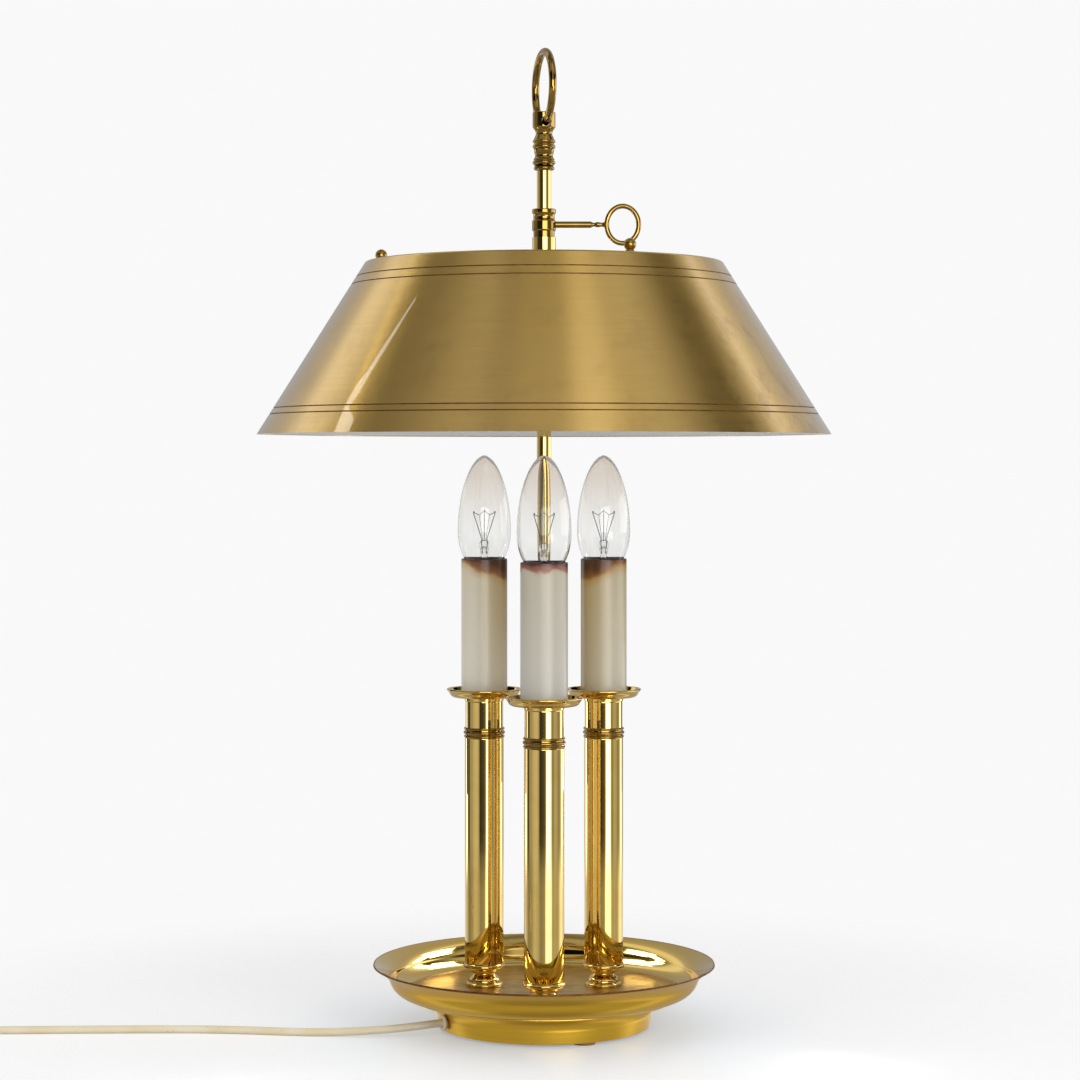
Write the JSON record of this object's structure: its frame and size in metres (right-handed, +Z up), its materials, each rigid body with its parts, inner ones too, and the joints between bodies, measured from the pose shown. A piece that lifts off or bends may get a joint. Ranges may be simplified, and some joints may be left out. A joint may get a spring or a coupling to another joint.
{
  "type": "bouillotte lamp",
  "caption": "Bouillotte table lamp: three brass candles with bulbs on a dish base, a centre column with carry ring, and a brass shade that slides on the column and is held by a clamp screw.",
  "frame": {"origin": "on the table, under the column's axis, which is the centre of the shade and of the base", "axes": "+Z up along the column, -Y towards the front candle, +X towards the clamp screw"},
  "size_m": [0.7265, 0.369, 0.6306],
  "materials": {
    "satin_brass": "circumferentially brushed, clear lacquered",
    "polished_brass": "mirror polished, clear lacquered",
    "spun_brass": "satin outside, polished inside",
    "cast_iron": "as cast, blacked",
    "zinc_steel": "zinc plated",
    "fibre_board": "hard fibre, matt",
    "felt": "pressed felt",
    "candle_plastic": "moulded, satin, scorched at the top",
    "phenolic": "moulded phenolic",
    "lamp_glass": "clear",
    "nickel": "nickel plated",
    "tungsten": "drawn wire",
    "cord_pvc": "extruded soft plastic, aged",
    "switch_plastic": "moulded, satin",
    "lead_pvc": "extruded soft plastic"
  },
  "bodies": {
    "base": {"base_dish": "spun_brass", "foot_ring": "spun_brass", "base_weight": "cast_iron", "bottom_cover": "fibre_board", "felt_pads": "felt", "column": "polished_brass", "column_collar": "polished_brass", "column_washer": "zinc_steel", "column_nut": "zinc_steel", "finial": "polished_brass", "candle_foot_1": "polished_brass", "candle_foot_2": "polished_brass", "candle_foot_3": "polished_brass", "candle_tube_1": "polished_brass", "candle_tube_2": "polished_brass", "candle_tube_3": "polished_brass", "bead_bands": "polished_brass", "drip_pan_1": "polished_brass", "drip_pan_2": "polished_brass", "drip_pan_3": "polished_brass", "candle_sleeve_1": "candle_plastic", "candle_sleeve_2": "candle_plastic", "candle_sleeve_3": "candle_plastic", "stay_tubes": "zinc_steel", "stay_nuts": "zinc_steel", "pan_nuts": "zinc_steel", "lampholder_1": "phenolic", "lampholder_2": "phenolic", "lampholder_3": "phenolic", "holder_shells": "polished_brass", "holder_contacts": "polished_brass", "bulb_glass_1": "lamp_glass", "bulb_glass_2": "lamp_glass", "bulb_glass_3": "lamp_glass", "bulb_cap_1": "nickel", "bulb_cap_2": "nickel", "bulb_cap_3": "nickel", "bulb_stems": "lamp_glass", "bulb_filaments": "tungsten", "terminal_block": "switch_plastic", "inner_leads": "lead_pvc", "cord_grommet": "cord_pvc", "mains_cord": "cord_pvc", "switch_base": "switch_plastic", "switch_cover": "switch_plastic", "switch_screws": "zinc_steel", "cord_tail": "cord_pvc", "cord_coil": "cord_pvc", "cord_end": "cord_pvc", "plug_body": "switch_plastic", "plug_pins": "nickel"},
    "clamp": {"clamp_bush": "polished_brass", "hub_nut": "polished_brass"},
    "shade": {"shade": "satin_brass", "spider": "polished_brass", "ball_nuts": "satin_brass"},
    "clamp_screw": {"clamp_screw": "polished_brass"},
    "carry_ring": {"carry_ring": "polished_brass"},
    "switch_rocker": {"switch_rocker": "switch_plastic"}
  },
  "joints": [
    {"name": "shade_height", "type": "slide", "parent": "base", "child": "clamp", "axis": [0, 0, 1], "range_m": [-0.11, 0.024]},
    {"name": "shade_swivel", "type": "hinge", "parent": "clamp", "child": "shade", "pos_m": [0, 0, 0.5], "axis": [0, 0, 1], "continuous": true},
    {"name": "clamp_screw_turn", "type": "hinge", "parent": "clamp", "child": "clamp_screw", "pos_m": [0.03, 0, 0.5166], "axis": [1, 0, 0], "range_deg": [0, 540]},
    {"name": "carry_ring_swing", "type": "hinge", "parent": "base", "child": "carry_ring", "pos_m": [0, 0, 0.5829], "axis": [-0.2419, 0.9703, 0], "range_deg": [-165, 135]},
    {"name": "switch_rocker_tilt", "type": "hinge", "parent": "base", "child": "switch_rocker", "pos_m": [-0.408, -0.027, 0.0126], "axis": [0, 1, 0], "range_deg": [0, 14]}
  ]
}
